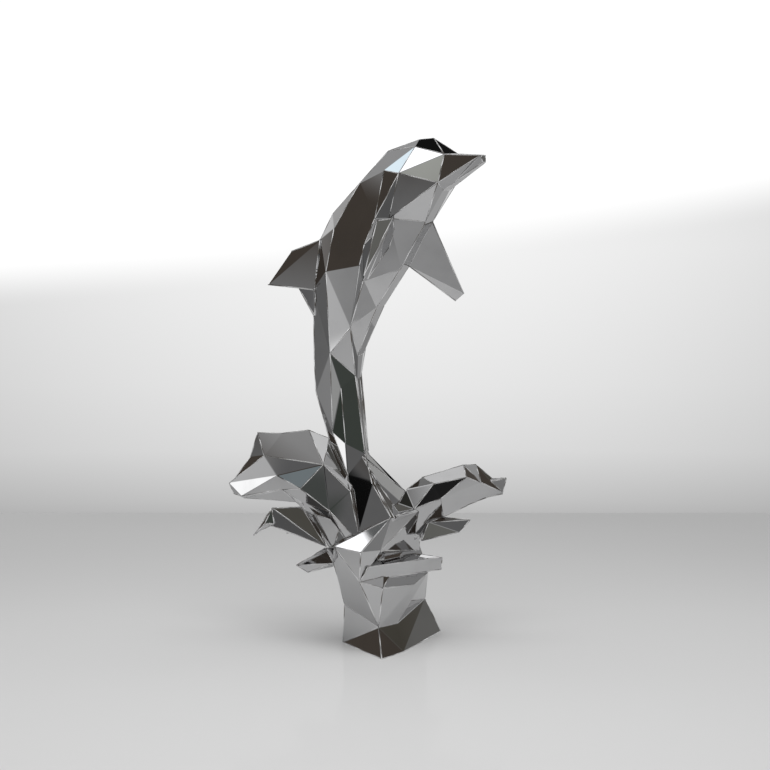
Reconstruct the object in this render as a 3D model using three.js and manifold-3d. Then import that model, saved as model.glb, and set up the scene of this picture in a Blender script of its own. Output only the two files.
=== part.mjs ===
// A polished stainless steel group of three leaping dolphins, made of flat facets welded edge to edge.
// The tall dolphin stands on its tail above a faceted column, which is where two smaller dolphins rise
// and turn outward, one to each side. The whole work is one closed skin, so it is one solid here.
// Units are millimetres, +Z is up, and the origin is on the floor in the middle of the foot.

import * as THREE from 'three';
import { ConvexGeometry } from 'three/addons/geometries/ConvexGeometry.js';
import { mergeVertices } from 'three/addons/utils/BufferGeometryUtils.js';
import Module from 'manifold-3d';

// The height of the tall dolphin's head above the floor. Every corner below is given in steps of this height.
const height = 2455;
const stepsInHeight = 491;
const step = height / stepsInHeight;

// Where two surfaces nearly meet, edges shorter than this are closed up.
const smallestEdge = 0.1;

// The polished steel skin.
const steelColour = 0xc9cbcd;
const steelRoughness = 0.06;
const steelMetalness = 1;

const wasm = await Module();
wasm.setup();

// A dolphin's own directions: it faces along its heading, and its left side sits a little higher or lower.
function poseOf({ foot, heading, leftRise }) {
  const turn = THREE.MathUtils.degToRad(heading);
  return {
    foot: new THREE.Vector3(foot[0], foot[1], 0),
    forward: new THREE.Vector3(Math.cos(turn), Math.sin(turn), 0),
    left: new THREE.Vector3(-Math.sin(turn), Math.cos(turn), leftRise),
  };
}

// The place of a corner that is so far forward, so high, and so far out to the left of the mirror plane.
function placeCorner(pose, [forward, up, out]) {
  return pose.foot.clone()
    .addScaledVector(pose.forward, forward)
    .addScaledVector(pose.left, out)
    .add(new THREE.Vector3(0, 0, up))
    .multiplyScalar(step);
}

function mirrored([forward, up, out]) {
  return [forward, up, -out];
}

// Fills the band between two lines with triangles, along the shorter way across, or as the folds say:
// each letter moves one corner on, u along the upper line and l along the lower one.
function fillBand(upper, lower, folds) {
  const facets = [];
  let atUpper = 0;
  let atLower = 0;
  while (atUpper + 1 < upper.length || atLower + 1 < lower.length) {
    const onUpper = upper[atUpper + 1];
    const onLower = lower[atLower + 1];
    const fold = folds[atUpper + atLower];
    const upperIsShorter = onUpper && (!onLower
      || distance(onUpper, lower[atLower]) < distance(upper[atUpper], onLower));
    if (fold ? fold === 'u' : upperIsShorter) {
      facets.push([upper[atUpper], lower[atLower], onUpper]);
      atUpper += 1;
    } else {
      facets.push([upper[atUpper], lower[atLower], onLower]);
      atLower += 1;
    }
  }
  return facets;
}

function distance(a, b) {
  return Math.hypot(a[0] - b[0], a[1] - b[1], a[2] - b[2]);
}

// Joins a line on the right side to its mirror image on the left side.
function bridgeSides(line) {
  const facets = [];
  for (let index = 0; index + 1 < line.length; index += 1) {
    const near = line[index];
    const next = line[index + 1];
    facets.push([near, mirrored(next), next]);
    facets.push([near, mirrored(near), mirrored(next)]);
  }
  return facets;
}

// Turns loose triangles into a solid, whichever way round they were listed.
function solidFromFacets(facets) {
  const positions = [];
  let volume = 0;
  for (const [a, b, c] of facets) {
    volume += a.dot(new THREE.Vector3().crossVectors(b, c));
  }
  for (const [a, b, c] of facets) {
    for (const corner of volume > 0 ? [a, b, c] : [a, c, b]) {
      positions.push(corner.x, corner.y, corner.z);
    }
  }
  const geometry = new THREE.BufferGeometry();
  geometry.setAttribute('position', new THREE.Float32BufferAttribute(positions, 3));
  return solidFromGeometry(geometry);
}

function solidFromGeometry(geometry) {
  geometry.deleteAttribute('normal');
  geometry.deleteAttribute('uv');
  const merged = mergeVertices(geometry, 0.01);
  const mesh = new wasm.Mesh({
    numProp: 3,
    vertProperties: new Float32Array(merged.attributes.position.array),
    triVerts: new Uint32Array(merged.index.array),
  });
  return new wasm.Manifold(mesh);
}

// A body is drawn as lines from nose to tail, from the back down to the belly, on one side only.
// Bands join the lines, the other side is the mirror image, and bridges close nose, belly and tail.
function bodySolid(pose, lines, folds = []) {
  const half = lines.slice(1).flatMap((line, index) => fillBand(lines[index], line, folds[index] ?? ''));
  const otherHalf = half.map(([a, b, c]) => [mirrored(a), mirrored(c), mirrored(b)]);
  const nose = lines.map((line) => line[0]);
  const tail = lines.map((line) => line[line.length - 1]).reverse();
  const belly = lines[lines.length - 1];
  const bridges = [nose, belly, tail].flatMap(bridgeSides);
  const facets = [...half, ...otherHalf, ...bridges]
    .filter(([a, b, c]) => distance(a, b) > 0 && distance(b, c) > 0 && distance(c, a) > 0)
    .map((facet) => facet.map((corner) => placeCorner(pose, corner)));
  return solidFromFacets(facets);
}

// A convex block with the given corners, for fins, flippers, flukes and the column.
function blockSolid(corners) {
  return solidFromGeometry(new ConvexGeometry(corners));
}

function poseBlock(pose, corners) {
  return blockSolid(corners.map((corner) => placeCorner(pose, corner)));
}

// The column, the flukes and the crown are given by plain places: right, away and up from the origin.
function plainPlace([right, away, up]) {
  return new THREE.Vector3(right, away, up).multiplyScalar(step);
}

// The tall dolphin leans toward the front right; the small ones leave to the back left and back right.
const tallPose = poseOf({ foot: [-26, -4], heading: -25, leftRise: 0.2 });
const leftPose = poseOf({ foot: [-30, 0], heading: 153, leftRise: 0.1 });
const rightPose = poseOf({ foot: [10, 0], heading: 25, leftRise: -0.1 });

// Corners that neighbours share: the crown's low front corner, the one below it where the right fluke
// begins, and the heel of the left fluke.
const notch = [-23, -48, 97];
const notchFoot = [-24, -47, 69];
const heel = [-50, -20, 82];

// Corners of the tall dolphin's tail where the crown and the right dolphin's root join it.
const tailFront = [5, 113, 11];
const tailRight = [39, 129, 8];
const tailLeft = [-19, 101, 12];

// The tall dolphin, nose up and to the right, back to the left.
function tallDolphin() {
  const brow = [98, 474, 18];
  const waist = [2, 315, 22];
  const hip = [0, 266, 7];
  const stock = [-8, 169, 8];
  const back = [
    [80, 491, 0], [65, 491, 0], [32, 483, 0], [-29, 426, 0], [-43, 401, 0], [-51, 351, 0],
    [-50, 280, 0], [-48, 248, 0], [-33, 202, 0], [-14, 163, 0], [-30, 100, 0], [-26, 92, 0],
  ];
  const shoulder = [
    brow, [66, 484, 12], [34, 464, 14], [8, 454, 14], [-19, 412, 16], [-27, 370, 18],
    [-25, 289, 13], [-26, 210, 6], stock, tailLeft, [-16, 92, 8],
  ];
  const flank = [
    brow, [55, 460, 26], [32, 419, 30], [20, 395, 28], [14, 375, 27], waist,
    hip, [-15, 254, 9], [-11, 199, 7], stock, tailFront, [4, 94, 8],
  ];
  const side = [
    [130, 470, 6], [95, 448, 26], [44, 418, 24], [18, 360, 26], waist, hip,
    [9, 189, 4], [18, 160, 6], tailRight, [20, 96, 6],
  ];
  const belly = [
    [131, 463, 4], [103, 446, 8], [93, 440, 9], [76, 412, 10], [51, 370, 10], [24, 332, 9],
    [2, 285, 6], [0, 262, 3], [8, 184, 1], [20, 158, 3], [42, 128, 6], [20, 96, 4],
  ];
  const finRoot = [
    [-42, 401, 2], [-42, 401, -2], [-46, 376, 2], [-46, 376, -2], [-49, 351, 2], [-49, 351, -2],
  ];
  const finBlade = [[-104, 358, 0], [-77, 391, 1], [-70, 357, 0]];
  const finHeel = [[-70, 357, 0], [-51, 325, 0], [-48, 325, 2], [-48, 325, -2]];
  const nearFlipper = [
    [35, 417, -32], [50, 418, -28], [46, 398, -14], [36, 408, -14], [28, 362, -38], [26, 366, -42],
  ];
  const farFlipper = [[75, 412, 8], [49, 370, 8], [60, 400, 2], [94, 336, 45], [85, 329, 45]];
  return [
    bodySolid(tallPose, [back, shoulder, flank, side, belly]),
    poseBlock(tallPose, [...finRoot, ...finBlade]),
    poseBlock(tallPose, [...finRoot.slice(2), ...finHeel]),
    poseBlock(tallPose, nearFlipper),
    poseBlock(tallPose, farFlipper),
  ];
}

// The smaller dolphin that leaves the column to the left, its bill low.
function leftDolphin() {
  const back = [
    [148, 152, 0], [124, 180, 0], [115, 206, 0], [85, 206, 0],
    [53, 210, 0], [29, 202, 0], [0, 165, 0], [-10, 100, 0],
  ];
  const cheek = [[148, 152, 4], [99, 182, 12], [24, 175, 20], [-4, 150, 16], [-14, 100, 14]];
  const mouth = [[148, 152, 4], [81, 162, 16], [49, 150, 23], [17, 130, 21], [0, 100, 14]];
  const jaw = [[142, 141, 4], [130, 139, 7], [76, 148, 14], [53, 136, 12], [20, 121, 12], [10, 100, 12]];
  const keel = [[131, 137, 0], [68, 136, 0], [52, 128, 8], [24, 94, 10], [6, 92, 6]];
  const nearFlipper = [
    [53, 132, 14], [24, 94, 14], [36, 112, 8], [82, 114, 36], [75, 130, 34], [76, 116, 31],
  ];
  const farFlipper = nearFlipper.map(mirrored);
  const flipperTip = [[82, 114, 36], [75, 130, 34], [72, 114, 34], [76, 116, 31], [99, 101, 31]];
  return [
    bodySolid(leftPose, [back, cheek, mouth, jaw, keel], ['luuuluu']),
    poseBlock(leftPose, nearFlipper),
    poseBlock(leftPose, farFlipper),
    poseBlock(leftPose, flipperTip),
    poseBlock(leftPose, flipperTip.map(mirrored)),
  ];
}

// The smaller dolphin that leaves the column to the right, slimmer and more level.
function rightDolphin() {
  const back = [
    [128, 159, 0], [111, 159, 0], [92, 174, 0], [77, 174, 0],
    [30, 163, 0], [12, 151, 0], [-2, 140, 0], [-20, 100, 0],
  ];
  const upper = [
    [126, 158, 4], [106, 156, 5], [91, 155, 12], [73, 161, 14], [37, 156, 12], [14, 132, 14], [-10, 100, 14],
  ];
  const lower = [[122, 144, 4], [44, 141, 14], [14, 132, 14], [0, 104, 6]];
  const keel = [[122, 142, 3.5], [100, 139, 6], [77, 132, 8], [50, 122, 9.5], [32, 110, 8], [12, 96, 3]];
  const backFin = [
    [13, 149, 0], [6, 138, 3], [6, 138, -3], [-8, 136, 3],
    [-8, 136, -3], [-20, 160, 3], [-20, 160, -3], [-36, 186, 0],
  ];
  const nearFlipper = [
    [31, 118, -12], [22, 100, -14], [48, 122, -10], [26, 110, 0], [53, 107, -36], [65, 119, -36],
  ];
  const farFlipper = nearFlipper.map(mirrored);
  return [
    bodySolid(rightPose, [back, upper, lower, keel]),
    poseBlock(rightPose, backFin),
    poseBlock(rightPose, nearFlipper),
    poseBlock(rightPose, farFlipper),
  ];
}

// The tall dolphin's tail flukes are two thick blades spread over the column. Between them the crown
// rises to the tail with a bright shelf in front, and the root beside it reaches over to the right dolphin.
function flukes() {
  const shelfEnd = [-49, -31, 100];
  const rootFoot = [-4, -36, 97];
  const rightBlade = [
    notchFoot, [-16, -46, 83], [57, 4, 84], [56, 4, 72], [42, -8, 85], [41, -8, 72], [37, 12, 86],
    [-5, 8, 91], [-10, 20, 72],
  ];
  const leftBlade = [heel, [-87, -12, 79], [-76, -14, 72], [-59, 2, 94], [-24, 10, 92], [-24, -10, 84]];
  const crown = [
    heel, shelfEnd, notch, notchFoot, rootFoot,
    [-30, 20, 110], [-10, 10, 110], [0, 0, 80], [-30, 10, 80],
  ];
  const rightRoot = [
    rootFoot, [-6, -12, 104], [29, -7, 133], [34, -3, 131],
    [35, 16, 89], [10, 20, 130], [30, 26, 125], [10, 20, 80],
  ];
  const tail = [tailFront, tailRight, tailLeft].map((corner) => placeCorner(tallPose, mirrored(corner)));
  return [
    blockSolid(rightBlade.map(plainPlace)),
    blockSolid(leftBlade.map(plainPlace)),
    blockSolid([...crown.map(plainPlace), ...tail]),
    blockSolid([...rightRoot.map(plainPlace), tail[1]]),
  ];
}

// The column under them all: a foot that spreads on the floor, a waist, and a wider top. The foot's
// front panels each lean back to the waist, so they meet the column above them in inward folds.
function column() {
  const leftToe = [-42, 3, 0];
  const frontToe = [-3, -64, 0];
  const sideToe = [18, -36, 0];
  const rightToe = [58, 50, 0];
  const leftWaist = [-40, -4, 39];
  const frontWaist = [-6, -39, 24];
  const sideWaist = [12, -12, 22];
  const rightWaist = [42, 60, 32];
  const rear = [[30, 66, 0], [-22, 50, 0], [20, 40, 42], [-26, 34, 40]];
  const waist = [leftWaist, frontWaist, sideWaist, rightWaist];
  const top = [heel, notchFoot, [-2, -42, 62], [29, -6, 59], [43, 14, 67], [24, 36, 90], [-30, 30, 90]];
  const neck = [[-40, -6, 100], [0, -8, 106], [24, 14, 100], [30, 20, 110], [10, 30, 120], [-34, 24, 110]];
  const sections = [
    [leftToe, frontToe, frontWaist, ...rear],
    [frontToe, sideToe, frontWaist, sideWaist, ...rear],
    [sideToe, rightToe, sideWaist, rightWaist, ...rear],
    [leftToe, ...waist, ...rear],
    [...waist, ...rear.slice(2), ...top],
    [...top, ...neck],
  ];
  return sections.map((corners) => blockSolid(corners.map(plainPlace)));
}

const solids = [...column(), ...flukes(), ...tallDolphin(), ...leftDolphin(), ...rightDolphin()];
const whole = solids.reduce((sum, solid) => sum.add(solid)).simplify(smallestEdge);
const skin = whole.getMesh();
const geometry = new THREE.BufferGeometry();
geometry.setAttribute('position', new THREE.BufferAttribute(new Float32Array(skin.vertProperties), 3));
geometry.setIndex(new THREE.BufferAttribute(new Uint32Array(skin.triVerts), 1));
geometry.computeVertexNormals();

const steel = new THREE.MeshStandardMaterial({
  color: steelColour,
  roughness: steelRoughness,
  metalness: steelMetalness,
});
const sculpture = new THREE.Mesh(geometry, steel);
sculpture.name = 'dolphin_group';

const group = new THREE.Group();
group.add(sculpture);
export default group;
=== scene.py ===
import bmesh
import bpy
import numpy as np
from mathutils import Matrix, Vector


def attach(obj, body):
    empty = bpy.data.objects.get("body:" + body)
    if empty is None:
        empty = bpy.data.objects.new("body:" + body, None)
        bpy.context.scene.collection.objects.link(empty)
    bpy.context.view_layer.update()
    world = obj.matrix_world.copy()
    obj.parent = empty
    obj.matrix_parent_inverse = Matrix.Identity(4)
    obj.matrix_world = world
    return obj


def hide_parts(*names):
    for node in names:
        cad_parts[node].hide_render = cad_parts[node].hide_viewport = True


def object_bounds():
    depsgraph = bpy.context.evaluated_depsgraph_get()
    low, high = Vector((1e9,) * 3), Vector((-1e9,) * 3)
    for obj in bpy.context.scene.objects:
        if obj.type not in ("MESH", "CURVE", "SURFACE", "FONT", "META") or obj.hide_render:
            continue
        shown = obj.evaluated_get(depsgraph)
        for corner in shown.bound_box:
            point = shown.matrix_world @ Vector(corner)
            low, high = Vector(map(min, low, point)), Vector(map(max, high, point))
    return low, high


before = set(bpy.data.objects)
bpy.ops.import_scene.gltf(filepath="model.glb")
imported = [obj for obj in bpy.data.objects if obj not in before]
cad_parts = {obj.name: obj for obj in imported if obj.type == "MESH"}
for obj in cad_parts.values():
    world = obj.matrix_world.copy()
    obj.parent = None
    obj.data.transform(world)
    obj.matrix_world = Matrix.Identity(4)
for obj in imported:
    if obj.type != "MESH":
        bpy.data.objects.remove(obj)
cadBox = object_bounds()


# shared helpers
def newMaterial(name):
    material = bpy.data.materials.new(name)
    material.use_nodes = True
    material.node_tree.nodes.clear()
    return material, material.node_tree


def addNode(tree, kind, place, **values):
    node = tree.nodes.new(kind)
    node.location = place
    for name, value in values.items():
        setattr(node, name, value)
    return node


def setInputs(node, **values):
    for name, value in values.items():
        node.inputs[name.replace("_", " ")].default_value = value
    return node


def mathNode(tree, place, operation, first, second=None, third=None):
    node = addNode(tree, "ShaderNodeMath", place, operation=operation)
    for index, value in enumerate((first, second, third)):
        if value is None:
            continue
        if hasattr(value, "is_linked"):
            tree.links.new(value, node.inputs[index])
        else:
            node.inputs[index].default_value = value
    return node.outputs[0]


def mixColours(tree, place, factor, first, second):
    node = addNode(tree, "ShaderNodeMix", place, data_type="RGBA")
    for socket, value in ((node.inputs[0], factor), (node.inputs[6], first), (node.inputs[7], second)):
        if hasattr(value, "is_linked"):
            tree.links.new(value, socket)
        else:
            socket.default_value = value
    return node.outputs[2]


# the camera, level, at the height that puts the horizon in the middle of the picture
cameraSettings = {
    "place": (0.0, -5.29, 1.276),
    "lens": 50.0,
    "sensor": 36.0,
}


def makeCamera():
    data = bpy.data.cameras.new("viewCamera")
    data.lens = cameraSettings["lens"]
    data.sensor_width = cameraSettings["sensor"]
    data.sensor_fit = "HORIZONTAL"
    camera = bpy.data.objects.new("viewCamera", data)
    camera.location = cameraSettings["place"]
    camera.rotation_euler = (np.pi / 2, 0.0, 0.0)
    bpy.context.collection.objects.link(camera)
    bpy.context.scene.camera = camera
    print("camera at", cameraSettings["place"])


makeCamera()

# mirror-polished steel plate
steelSettings = {
    "reflectance": (0.56, 0.56, 0.565, 1.0),
    "smudged": (0.50, 0.50, 0.505, 1.0),
    "roughPolished": 0.025,
    "roughSmudged": 0.07,
    "smudgeScale": 3.0,
    "smudgeFrom": 0.45,
    "smudgeTo": 0.75,
    "wavePerMetre": 2.2,
    "waveHeight": 0.0006,
    "brushScale": 240.0,
    "brushStretch": (1.0, 1.0, 0.08),
    "brushStrength": 0.02,
    "brushHeight": 0.0002,
}


def makeSteel():
    s = steelSettings
    material, tree = newMaterial("polishedSteel")
    output = addNode(tree, "ShaderNodeOutputMaterial", (900, 0))
    shader = addNode(tree, "ShaderNodeBsdfPrincipled", (600, 0))
    shader.inputs["Metallic"].default_value = 1.0
    coords = addNode(tree, "ShaderNodeTexCoord", (-900, 0))

    smudges = addNode(tree, "ShaderNodeTexNoise", (-600, 200))
    setInputs(smudges, Scale=s["smudgeScale"], Detail=5.0, Roughness=0.6)
    smudgeMask = addNode(tree, "ShaderNodeMapRange", (-380, 200), interpolation_type="SMOOTHSTEP")
    setInputs(smudgeMask, From_Min=s["smudgeFrom"], From_Max=s["smudgeTo"])
    roughness = addNode(tree, "ShaderNodeMapRange", (-160, 200))
    setInputs(roughness, To_Min=s["roughPolished"], To_Max=s["roughSmudged"])
    tint = mixColours(tree, (-160, 420), smudgeMask.outputs[0], s["reflectance"], s["smudged"])

    waves = addNode(tree, "ShaderNodeTexNoise", (-600, -150))
    setInputs(waves, Scale=s["wavePerMetre"], Detail=1.0, Roughness=0.3)
    panelBump = addNode(tree, "ShaderNodeBump", (-160, -150))
    setInputs(panelBump, Strength=1.0, Distance=s["waveHeight"])
    stretch = addNode(tree, "ShaderNodeMapping", (-700, -450))
    stretch.inputs["Scale"].default_value = s["brushStretch"]
    brush = addNode(tree, "ShaderNodeTexNoise", (-500, -450))
    setInputs(brush, Scale=s["brushScale"], Detail=2.0)
    brushBump = addNode(tree, "ShaderNodeBump", (120, -250))
    setInputs(brushBump, Strength=s["brushStrength"], Distance=s["brushHeight"])

    link = tree.links.new
    link(coords.outputs["Object"], smudges.inputs["Vector"])
    link(coords.outputs["Object"], waves.inputs["Vector"])
    link(coords.outputs["Object"], stretch.inputs["Vector"])
    link(stretch.outputs[0], brush.inputs["Vector"])
    link(smudges.outputs[0], smudgeMask.inputs["Value"])
    link(smudgeMask.outputs[0], roughness.inputs["Value"])
    link(waves.outputs[0], panelBump.inputs["Height"])
    link(brush.outputs[0], brushBump.inputs["Height"])
    link(panelBump.outputs[0], brushBump.inputs["Normal"])
    link(tint, shader.inputs["Base Color"])
    link(roughness.outputs[0], shader.inputs["Roughness"])
    link(brushBump.outputs[0], shader.inputs["Normal"])
    link(shader.outputs[0], output.inputs["Surface"])
    return material


# the welded plates: the solid's facets with a narrow rounded fold along every edge
plateSettings = {
    "weldDigits": 5,
    "flatWithin": 0.6,
    "foldWidth": 0.0035,
    "foldRounds": 3,
    "sharpOver": 2.0,
}


# the node's triangles welded at their corners: each corner is kept once, in rounded metres
def weldedCopy(source, name):
    mesh = source.data
    places = np.empty(len(mesh.vertices) * 3)
    mesh.vertices.foreach_get("co", places)
    places = places.reshape(-1, 3)
    faces = [tuple(polygon.vertices) for polygon in mesh.polygons]
    rounded, which = np.unique(np.round(places, plateSettings["weldDigits"]), axis=0, return_inverse=True)
    which = which.reshape(-1)
    welded = [tuple(int(which[index]) for index in face) for face in faces]
    welded = [face for face in welded if len(set(face)) == len(face)]
    copy = bpy.data.meshes.new(name)
    copy.from_pydata(rounded.tolist(), [], welded)
    copy.validate()
    return copy


def makePlates(steel):
    s = plateSettings
    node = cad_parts["dolphin_group"]
    mesh = weldedCopy(node, "steelPlates")
    work = bmesh.new()
    work.from_mesh(mesh)
    bmesh.ops.dissolve_limit(
        work, angle_limit=np.radians(s["flatWithin"]), verts=work.verts, edges=work.edges)
    for face in work.faces:
        face.smooth = True
    work.to_mesh(mesh)
    work.free()
    plates = bpy.data.objects.new("steelPlates", mesh)
    bpy.context.collection.objects.link(plates)
    mesh.materials.append(steel)
    fold = plates.modifiers.new("folds", "BEVEL")
    fold.width = s["foldWidth"]
    fold.segments = s["foldRounds"]
    fold.limit_method = "ANGLE"
    fold.angle_limit = np.radians(s["sharpOver"])
    fold.use_clamp_overlap = False
    fold.harden_normals = True
    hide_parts("dolphin_group")
    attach(plates, "root")
    print("plates:", len(mesh.polygons), "facets")
    return mesh


steel = makeSteel()
plateMesh = makePlates(steel)

# the ground welds: a slim rounded bead lies along every fold that is sharp enough to be a seam
seamSettings = {
    "radius": 0.0030,
    "proud": 0.0013,
    "around": 8,
    "endGap": 0.002,
    "shortest": 0.03,
    "sharpOver": 14.0,
    "leastNormalSum": 0.2,
    "reflectance": (0.86, 0.86, 0.865, 1.0),
    "roughness": 0.14,
    "roughnessSpread": 0.4,
    "rippleScale": 420.0,
    "rippleStrength": 0.25,
    "rippleHeight": 0.0004,
}


def makeSeamSteel():
    s = seamSettings
    material, tree = newMaterial("seamSteel")
    output = addNode(tree, "ShaderNodeOutputMaterial", (600, 0))
    shader = addNode(tree, "ShaderNodeBsdfPrincipled", (300, 0))
    shader.inputs["Metallic"].default_value = 1.0
    shader.inputs["Base Color"].default_value = s["reflectance"]
    coords = addNode(tree, "ShaderNodeTexCoord", (-600, 0))
    ripple = addNode(tree, "ShaderNodeTexNoise", (-400, 0))
    setInputs(ripple, Scale=s["rippleScale"], Detail=2.0)
    roughness = addNode(tree, "ShaderNodeMapRange", (-180, 150))
    setInputs(
        roughness,
        To_Min=s["roughness"] * (1.0 - s["roughnessSpread"]),
        To_Max=s["roughness"] * (1.0 + s["roughnessSpread"]))
    bump = addNode(tree, "ShaderNodeBump", (0, -200))
    setInputs(bump, Strength=s["rippleStrength"], Distance=s["rippleHeight"])
    link = tree.links.new
    link(coords.outputs["Object"], ripple.inputs["Vector"])
    link(ripple.outputs[0], roughness.inputs["Value"])
    link(ripple.outputs[0], bump.inputs["Height"])
    link(roughness.outputs[0], shader.inputs["Roughness"])
    link(bump.outputs[0], shader.inputs["Normal"])
    link(shader.outputs[0], output.inputs["Surface"])
    return material


# the folds between plates: both ends, and the direction halfway between the two plates' outward normals
def foldsOf(mesh):
    s = seamSettings
    work = bmesh.new()
    work.from_mesh(mesh)
    rows = []
    for edge in work.edges:
        if len(edge.link_faces) != 2 or edge.calc_length() < s["shortest"]:
            continue
        if edge.calc_face_angle() < np.radians(s["sharpOver"]):
            continue
        first, second = (face.normal for face in edge.link_faces)
        if (first + second).length < s["leastNormalSum"]:
            continue
        rows.append([*edge.verts[0].co, *edge.verts[1].co, *(first + second).normalized()])
    work.free()
    return np.array(rows)


# each bead is a closed rod: a point goes round the fold's line at the radius, in the plane square to it,
# and the line is sunk so that only a narrow strip of the rod stands proud of the plates
def makeSeams(mesh, material):
    s = seamSettings
    rows = foldsOf(mesh)
    start, end, out = rows[:, 0:3], rows[:, 3:6], rows[:, 6:9]
    along = end - start
    along /= np.linalg.norm(along, axis=1, keepdims=True)
    side = np.cross(along, out)
    side /= np.linalg.norm(side, axis=1, keepdims=True)
    sunk = out * (s["proud"] - s["radius"])
    turns = np.linspace(0.0, 2.0 * np.pi, s["around"], endpoint=False)
    outward = np.cos(turns)[:, None] * out[:, None, :]
    sideways = np.sin(turns)[:, None] * side[:, None, :]
    ring = s["radius"] * (outward + sideways)
    near = (start + along * s["endGap"] + sunk)[:, None, :] + ring
    far = (end - along * s["endGap"] + sunk)[:, None, :] + ring
    points = np.concatenate([near, far], axis=1).reshape(-1, 3)
    points = np.clip(points, np.array(cadBox[0]), np.array(cadBox[1]))
    count = s["around"]
    here = np.arange(count)
    after = (here + 1) % count
    walls = np.stack([here, after, after + count, here + count], axis=1)
    bases = 2 * count * np.arange(len(rows))
    quads = (walls[None, :, :] + bases[:, None, None]).reshape(-1, 4)
    caps = [*(bases[:, None] + here[::-1]).tolist(), *(bases[:, None] + count + here).tolist()]
    beads = bpy.data.meshes.new("weldSeams")
    beads.from_pydata(points.tolist(), [], quads.tolist() + caps)
    work = bmesh.new()
    work.from_mesh(beads)
    bmesh.ops.recalc_face_normals(work, faces=work.faces)
    work.to_mesh(beads)
    work.free()
    smooth = np.zeros(len(beads.polygons), dtype=bool)
    smooth[:len(quads)] = True
    beads.polygons.foreach_set("use_smooth", smooth)
    beads.materials.append(material)
    seams = bpy.data.objects.new("weldSeams", beads)
    bpy.context.collection.objects.link(seams)
    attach(seams, "root")
    print("seams:", len(rows))


makeSeams(plateMesh, makeSeamSteel())

# the pale floor, which ends at a far edge against the backdrop; the steel mirrors its middle part alone
floorSettings = {
    "farEdge": 5.37,
    "nearEdge": -8.0,
    "halfWidth": 14.0,
    "mirroredNear": -2.2,
    "mirroredHalfWidth": 5.2,
    "colour": (0.66, 0.66, 0.66, 1.0),
    "roughness": 0.10,
    "roughnessSpread": 0.2,
    "shine": 0.006,
}


def makeFloorPaint():
    s = floorSettings
    material, tree = newMaterial("paleFloor")
    output = addNode(tree, "ShaderNodeOutputMaterial", (600, 0))
    shader = addNode(tree, "ShaderNodeBsdfPrincipled", (300, 0))
    coords = addNode(tree, "ShaderNodeTexCoord", (-600, 0))
    cloud = addNode(tree, "ShaderNodeTexNoise", (-400, 0))
    setInputs(cloud, Scale=1.5, Detail=4.0)
    roughness = addNode(tree, "ShaderNodeMapRange", (-180, 0))
    setInputs(
        roughness,
        To_Min=s["roughness"] * (1.0 - s["roughnessSpread"]),
        To_Max=s["roughness"] * (1.0 + s["roughnessSpread"]))
    tree.links.new(coords.outputs["Object"], cloud.inputs["Vector"])
    tree.links.new(cloud.outputs[0], roughness.inputs["Value"])
    tree.links.new(roughness.outputs[0], shader.inputs["Roughness"])
    tree.links.new(shader.outputs[0], output.inputs["Surface"])
    shader.inputs["Base Color"].default_value = s["colour"]
    shader.inputs["Specular IOR Level"].default_value = s["shine"]
    return material


# flat strips, each from its left, near corner to its right, far one
def makeFloor(name, material, strips):
    corners = []
    for left, near, right, far in strips:
        corners += [(left, near, 0.0), (right, near, 0.0), (right, far, 0.0), (left, far, 0.0)]
    faces = [tuple(range(start, start + 4)) for start in range(0, len(corners), 4)]
    mesh = bpy.data.meshes.new(name)
    mesh.from_pydata(corners, [], faces)
    mesh.materials.append(material)
    floor = bpy.data.objects.new(name, mesh)
    bpy.context.collection.objects.link(floor)
    print(name, "placed")
    return floor


def makeFloors():
    s = floorSettings
    wide, slim = s["halfWidth"], s["mirroredHalfWidth"]
    near, middle, far = s["nearEdge"], s["mirroredNear"], s["farEdge"]
    paint = makeFloorPaint()
    makeFloor("floor", paint, [(-slim, middle, slim, far)])
    outer = makeFloor("outerFloor", paint, [
        (-wide, near, wide, middle), (-wide, middle, -slim, far), (slim, middle, wide, far)])
    outer.visible_glossy = False


makeFloors()

# the room: a pale backdrop, and for the steel to mirror, a band of light and dark low down round the sides,
# a brown dusk above that, a grey ring higher up, and an overhead part that is brighter on the left;
# each pair of values named From and To is where one part fades into the next
roomSettings = {
    "backdropStops": (
        (0.00, 0.49), (0.06, 0.56), (0.25, 0.72), (0.50, 0.80), (1.00, 0.90),
    ),
    "backdropFrom": -0.12,
    "backdropTo": 0.12,
    "sideFall": 1.35,
    "sideLeast": 0.80,
    "white": (1.05, 1.05, 1.05, 1.0),
    "whiteFrom": 0.105,
    "whiteTo": 0.155,
    "whiteTilt": -0.114,
    "ambient": (0.31, 0.31, 0.31, 1.0),
    "bandStops": (
        (0.00, 0.15), (0.03, 0.11), (0.06, 0.17), (0.12, 0.14), (0.225, 0.25), (0.385, 0.385), (0.42, 0.66),
        (0.50, 0.78), (0.56, 0.38), (0.65, 0.20), (0.775, 0.15), (0.84, 0.20), (0.925, 0.55),
    ),
    "below": (0.42, 0.42, 0.42, 1.0),
    "dusk": (0.080, 0.067, 0.056, 1.0),
    "ring": (0.45, 0.45, 0.45, 1.0),
    "overheadDim": (0.90, 0.90, 0.90, 1.0),
    "overheadBright": (2.2, 2.2, 2.25, 1.0),
    "belowFrom": -0.20,
    "belowTo": -0.27,
    "duskFrom": 0.07,
    "duskTo": 0.17,
    "facingFrom": 0.52,
    "facingTo": 0.85,
    "ringFrom": 0.63,
    "ringTo": 0.675,
    "brightFrom": -0.468,
    "brightTo": -0.474,
    "overheadFrom": 0.80,
    "overheadTo": 0.84,
}

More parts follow.
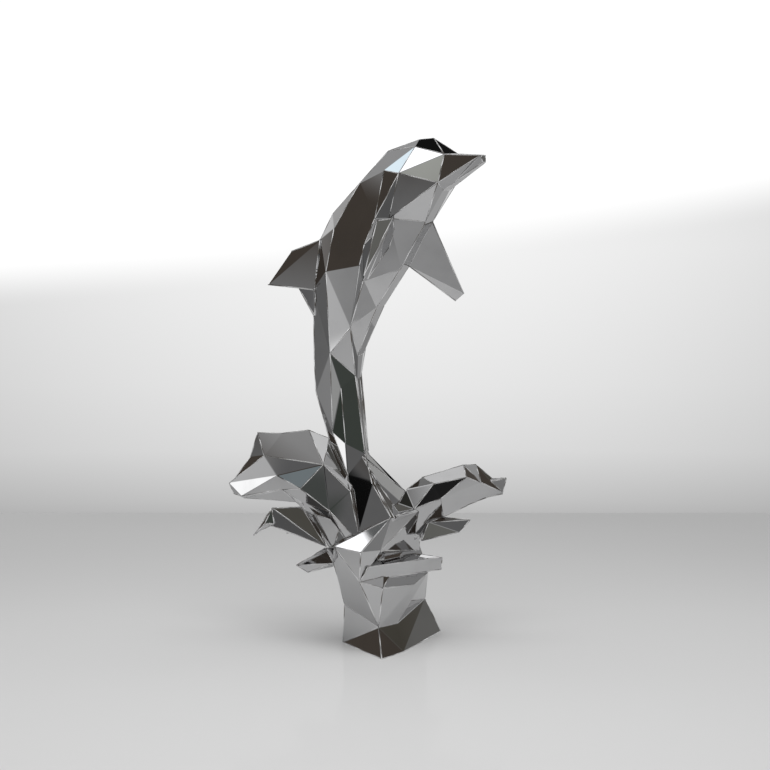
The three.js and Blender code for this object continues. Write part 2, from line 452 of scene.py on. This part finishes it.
# cards and flags hung round the sculpture, which its plates mirror: the direction they hang in,
# how many degrees from middle to edge, how soft the edge is, and how bright they are
cardSettings = {
    "overheadFlag": ((-0.16, 0.42, 0.89), 13.5, 1.6, (0.01, 0.01, 0.01)),
    "shelfFlag": ((-0.448, 0.123, 0.885), 1.3, 0.15, (0.17, 0.175, 0.175)),
    "coolCard": ((-0.565, 0.405, 0.72), 2.6, 1.4, (1.25, 1.46, 1.58)),
    "headCard": ((-0.52, -0.55, 0.65), 6.0, 2.0, (0.55, 0.56, 0.52)),
    "crownFlag": ((0.30, 0.79, 0.53), 6.0, 2.0, (0.01, 0.01, 0.01)),
    "frontGlow": ((-0.42, -0.76, 0.50), 12.0, 5.0, (0.19, 0.19, 0.175)),
    "blueCard": ((-0.925, -0.244, 0.291), 2.2, 0.8, (0.25, 0.29, 0.305)),
    "flankFlag": ((-0.922, -0.377, 0.09), 3.4, 0.8, (0.16, 0.16, 0.162)),
    "lowGlow": ((-0.672, -0.72, -0.174), 3.0, 1.0, (0.46, 0.465, 0.455)),
    "mouthFlag": ((-0.742, -0.668, -0.05), 2.0, 0.8, (0.088, 0.096, 0.090)),
    "neckFlag": ((-0.10, -0.508, 0.856), 3.0, 1.0, (0.035, 0.035, 0.03)),
    "leftCard": ((-0.985, -0.145, -0.125), 3.6, 1.0, (1.70, 1.70, 1.70)),
    "tailCard": ((-0.845, -0.53, 0.0), 2.6, 0.6, (1.60, 1.60, 1.60)),
    "tailFlag": ((-0.89, -0.44, -0.12), 4.0, 1.2, (0.05, 0.06, 0.05)),
    "greenFlag": ((-0.575, -0.815, -0.075), 3.4, 1.0, (0.070, 0.080, 0.070)),
    "upperGreenFlag": ((-0.53, -0.845, -0.10), 1.8, 0.5, (0.075, 0.085, 0.075)),
    "blackFlag": ((-0.64, -0.77, 0.035), 3.2, 0.8, (0.006, 0.006, 0.006)),
    "flipperFlag": ((0.36, -0.59, 0.72), 7.0, 2.0, (0.11, 0.105, 0.09)),
    "backFlag": ((-0.28, -0.50, 0.82), 5.0, 2.0, (0.16, 0.16, 0.16)),
    "sideFlag": ((0.71, -0.70, 0.09), 5.0, 2.0, (0.02, 0.02, 0.02)),
    "rightCard": ((0.92, -0.34, 0.20), 10.0, 3.0, (0.50, 0.50, 0.49)),
    "rightGlow": ((0.96, 0.19, 0.22), 8.0, 3.0, (0.30, 0.30, 0.30)),
    "farFlag": ((0.72, 0.64, 0.30), 13.0, 5.0, (0.17, 0.168, 0.160)),
    "soleFlag": ((0.712, 0.575, 0.40), 4.0, 2.0, (0.085, 0.078, 0.064)),
}


# all from the direction looked in: how far right, how far away from the viewer, how far up
def makeRoom():
    s = roomSettings
    world = bpy.data.worlds.new("studio")
    bpy.context.scene.world = world
    world.use_nodes = True
    tree = world.node_tree
    tree.nodes.clear()
    output = addNode(tree, "ShaderNodeOutputWorld", (1700, 0))
    coords = addNode(tree, "ShaderNodeTexCoord", (-1200, 0))
    split = addNode(tree, "ShaderNodeSeparateXYZ", (-1000, 0))
    tree.links.new(coords.outputs["Generated"], split.inputs[0])
    right, away, up = split.outputs

    def step(place, value, low, high, kind="SMOOTHSTEP"):
        node = addNode(tree, "ShaderNodeMapRange", place, interpolation_type=kind)
        setInputs(node, From_Min=low, From_Max=high)
        tree.links.new(value, node.inputs["Value"])
        return node.outputs[0]

    def greyRamp(place, factor, stops):
        node = addNode(tree, "ShaderNodeValToRGB", place)
        elements = node.color_ramp.elements
        while len(elements) < len(stops):
            elements.new(0.5)
        for element, (position, grey) in zip(elements, stops):
            element.position = position
            element.color = (grey, grey, grey, 1.0)
        tree.links.new(factor, node.inputs[0])
        return node.outputs[0]

    heights = step((-700, 900), up, s["backdropFrom"], s["backdropTo"], "LINEAR")
    wall = greyRamp((-500, 900), heights, s["backdropStops"])
    tilted = mathNode(tree, (-700, 650), "MULTIPLY_ADD", right, s["whiteTilt"], up)
    toWhite = step((-500, 650), tilted, s["whiteFrom"], s["whiteTo"])
    backdrop = mixColours(tree, (-200, 800), toWhite, wall, s["white"])
    squared = mathNode(tree, (-700, 1150), "MULTIPLY", right, right)
    fallen = mathNode(tree, (-500, 1150), "MULTIPLY_ADD", squared, -s["sideFall"], 1.0)
    dimmed = mathNode(tree, (-350, 1250), "MAXIMUM", fallen, s["sideLeast"])
    sides = addNode(tree, "ShaderNodeVectorMath", (-200, 1050), operation="SCALE")
    tree.links.new(wall, sides.inputs[0])
    tree.links.new(dimmed, sides.inputs["Scale"])
    shown = mixColours(tree, (0, 950), toWhite, sides.outputs[0], s["white"])

    around = step((-700, 250), away, -1.0, 1.0, "LINEAR")
    ring = greyRamp((-500, 250), around, s["bandStops"])
    toBelow = step((-500, 420), up, s["belowFrom"], s["belowTo"])
    band = mixColours(tree, (-200, 250), toBelow, ring, s["below"])
    toDusk = step((-500, 0), up, s["duskFrom"], s["duskTo"])
    dusk = mixColours(tree, (0, 100), toDusk, band, s["dusk"])
    toFacing = step((-500, -200), away, s["facingFrom"], s["facingTo"])
    facing = mixColours(tree, (200, 100), toFacing, dusk, backdrop)
    toRing = step((-500, -400), up, s["ringFrom"], s["ringTo"])
    ringed = mixColours(tree, (400, 100), toRing, facing, s["ring"])
    leftward = step((-500, -800), right, s["brightFrom"], s["brightTo"])
    overhead = mixColours(tree, (300, -500), leftward, s["overheadDim"], s["overheadBright"])
    toOverhead = step((-500, -600), up, s["overheadFrom"], s["overheadTo"])
    room = mixColours(tree, (600, 100), toOverhead, ringed, overhead)
    for index, (name, card) in enumerate(cardSettings.items()):
        direction, reach, soft, colour = card
        place = (700 + 200 * index, -300)
        toward = addNode(tree, "ShaderNodeVectorMath", (place[0], -700), operation="DOT_PRODUCT", label=name)
        toward.inputs[1].default_value = np.array(direction) / np.linalg.norm(direction)
        tree.links.new(coords.outputs["Generated"], toward.inputs[0])
        outer, inner = np.cos(np.radians([reach + soft, reach - soft]))
        share = step((place[0], -500), toward.outputs["Value"], outer, inner)
        room = mixColours(tree, place, share, room, (*colour, 1.0))

    path = addNode(tree, "ShaderNodeLightPath", (800, 600))
    lit = mixColours(tree, (1100, 0), path.outputs["Is Diffuse Ray"], room, s["ambient"])
    seen = mixColours(tree, (1300, 0), path.outputs["Is Camera Ray"], lit, shown)
    background = addNode(tree, "ShaderNodeBackground", (1500, 0))
    tree.links.new(seen, background.inputs["Color"])
    tree.links.new(background.outputs[0], output.inputs["Surface"])
    print("room lit")


makeRoom()

# two large soft lights overhead, the smaller one toward the viewer, so the near floor is the palest
lightSettings = {
    "softLight": {"place": (0.0, -1.5, 6.0), "size": 6.0, "power": 262.0},
    "frontLight": {"place": (0.0, -3.0, 4.0), "size": 4.0, "power": 36.0},
}


def makeLights():
    for name, s in lightSettings.items():
        data = bpy.data.lights.new(name, "AREA")
        data.shape = "SQUARE"
        data.size = s["size"]
        data.energy = s["power"]
        light = bpy.data.objects.new(name, data)
        light.location = s["place"]
        light.visible_glossy = False
        light.visible_camera = False
        bpy.context.collection.objects.link(light)
    print("lights placed")


makeLights()

bpy.context.scene.view_settings.view_transform = "Standard"
